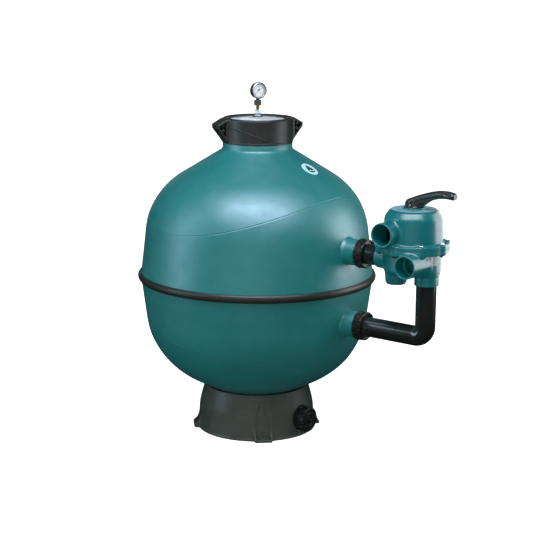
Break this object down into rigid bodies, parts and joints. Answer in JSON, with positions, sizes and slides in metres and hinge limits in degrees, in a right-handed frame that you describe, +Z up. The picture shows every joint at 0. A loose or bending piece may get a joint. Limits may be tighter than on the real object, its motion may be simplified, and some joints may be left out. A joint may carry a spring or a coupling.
{
  "type": "sand filter tank",
  "caption": "Pool sand filter: belted round tank on a skirted base, with clear lid, pressure gauge, side pipes and a multiport valve with a lever.",
  "frame": {"origin": "the tank's vertical axis at floor level, on the underside of the base's centre hub", "axes": "+Z up, +X from the tank's axis towards the valve and the drain, -Y the way the valve's pump and return ports open"},
  "size_m": [1.148, 0.788, 1.1537],
  "materials": {
    "tank_teal": "satin moulded teal plastic",
    "valve_teal": "glossy moulded teal plastic",
    "black_plastic": "semi-matt black moulded plastic",
    "black_pipe": "glossy black pipe",
    "seal_rubber": "black rubber",
    "clear_plastic": "clear moulded plastic",
    "white_plastic": "plain white plastic",
    "brass": "turned brass",
    "steel": "bright stainless steel",
    "dial_white": "white dial with a printed scale"
  },
  "bodies": {
    "tank": {"tank_upper_half": "tank_teal", "tank_lower_half": "tank_teal", "belt_band": "black_plastic", "base": "black_plastic", "drain_seal": "seal_rubber", "drain_strainer": "white_plastic", "inlet_pipe": "white_plastic", "diffuser": "white_plastic", "outlet_pipe": "white_plastic", "collector_hub": "white_plastic", "lateral_1": "white_plastic", "lateral_2": "white_plastic", "lateral_3": "white_plastic", "lateral_4": "white_plastic", "lateral_5": "white_plastic", "lateral_6": "white_plastic", "lateral_7": "white_plastic", "lateral_8": "white_plastic", "upper_union_seal": "seal_rubber", "lower_union_seal": "seal_rubber", "upper_stub_pipe": "black_pipe", "lower_pipe": "black_pipe", "valve_body": "valve_teal", "valve_cover": "valve_teal", "cover_gasket": "seal_rubber", "position_plate": "white_plastic", "diverter_seal": "seal_rubber", "cover_bolt_1": "steel", "cover_bolt_2": "steel", "cover_bolt_3": "steel", "cover_bolt_4": "steel", "cover_bolt_5": "steel", "cover_bolt_6": "steel", "cover_bolt_7": "steel", "cover_bolt_8": "steel"},
    "lid": {"lid": "clear_plastic", "lid_o_ring": "seal_rubber", "gauge_stem": "brass", "gauge_nut": "black_plastic", "gauge_case": "black_plastic", "gauge_bezel": "steel", "gauge_window": "clear_plastic", "gauge_dial": "dial_white"},
    "lock_ring": {"lock_ring": "black_plastic"},
    "bleed_wing": {"bleed_wing": "clear_plastic"},
    "gauge_needle": {"gauge_needle": "black_plastic"},
    "upper_union_nut": {"upper_union_nut": "black_plastic"},
    "lower_union_nut": {"lower_union_nut": "black_plastic"},
    "drain_cap": {"drain_cap": "black_plastic"},
    "drain_plug": {"drain_plug": "black_plastic"},
    "waste_plug": {"waste_plug": "black_plastic"},
    "selector": {"thrust_washer": "white_plastic", "spring_washer": "steel", "selector_spring": "steel"},
    "diverter": {"diverter": "white_plastic", "handle_pin": "steel"},
    "handle": {"handle": "black_plastic"}
  },
  "joints": [
    {"name": "lid_lift", "type": "slide", "parent": "tank", "child": "lid", "axis": [0, 0, 1], "range_m": [0, 0.25]},
    {"name": "lock_ring_turn", "type": "hinge", "parent": "lid", "child": "lock_ring", "pos_m": [0, 0, 1.001], "axis": [0, 0, 1], "range_deg": [0, 360]},
    {"name": "bleed_wing_turn", "type": "hinge", "parent": "lid", "child": "bleed_wing", "pos_m": [0, 0, 1.058], "axis": [0, 0, 1], "range_deg": [0, 360]},
    {"name": "gauge_needle_turn", "type": "hinge", "parent": "lid", "child": "gauge_needle", "pos_m": [0, 0, 1.127], "axis": [-0.9205, 0.3907, 0], "range_deg": [0, 270], "stiffness_Nm_per_rad": 0.0005},
    {"name": "upper_union_nut_turn", "type": "hinge", "parent": "tank", "child": "upper_union_nut", "pos_m": [0.43, 0, 0.643], "axis": [1, 0, 0], "range_deg": [0, 1080]},
    {"name": "lower_union_nut_turn", "type": "hinge", "parent": "tank", "child": "lower_union_nut", "pos_m": [0.43, 0, 0.41], "axis": [1, 0, 0], "range_deg": [0, 1080]},
    {"name": "drain_cap_turn", "type": "hinge", "parent": "tank", "child": "drain_cap", "pos_m": [0.205, 0, 0.057], "axis": [1, 0, 0], "range_deg": [0, 1080]},
    {"name": "drain_plug_turn", "type": "hinge", "parent": "drain_cap", "child": "drain_plug", "pos_m": [0.218, 0, 0.057], "axis": [1, 0, 0], "range_deg": [0, 1080]},
    {"name": "waste_plug_turn", "type": "hinge", "parent": "tank", "child": "waste_plug", "pos_m": [0.547, 0, 0.576], "axis": [0, 0, -1], "range_deg": [0, 1080]},
    {"name": "selector_turn", "type": "hinge", "parent": "tank", "child": "selector", "pos_m": [0.605, 0, 0.801], "axis": [0, 0, 1], "continuous": true},
    {"name": "diverter_lift", "type": "slide", "parent": "selector", "child": "diverter", "axis": [0, 0, 1], "range_m": [0, 0.0042], "deforming": ["selector_spring"]},
    {"name": "handle_press", "type": "hinge", "parent": "diverter", "child": "handle", "pos_m": [0.605, 0, 0.818], "axis": [0, 1, 0], "range_deg": [0, 9], "stiffness_Nm_per_rad": 20, "springref_deg": -5.73}
  ],
  "couplings": [
    {"joint": "diverter_lift", "follows": "handle_press", "m_per_rad": 0.0255}
  ]
}
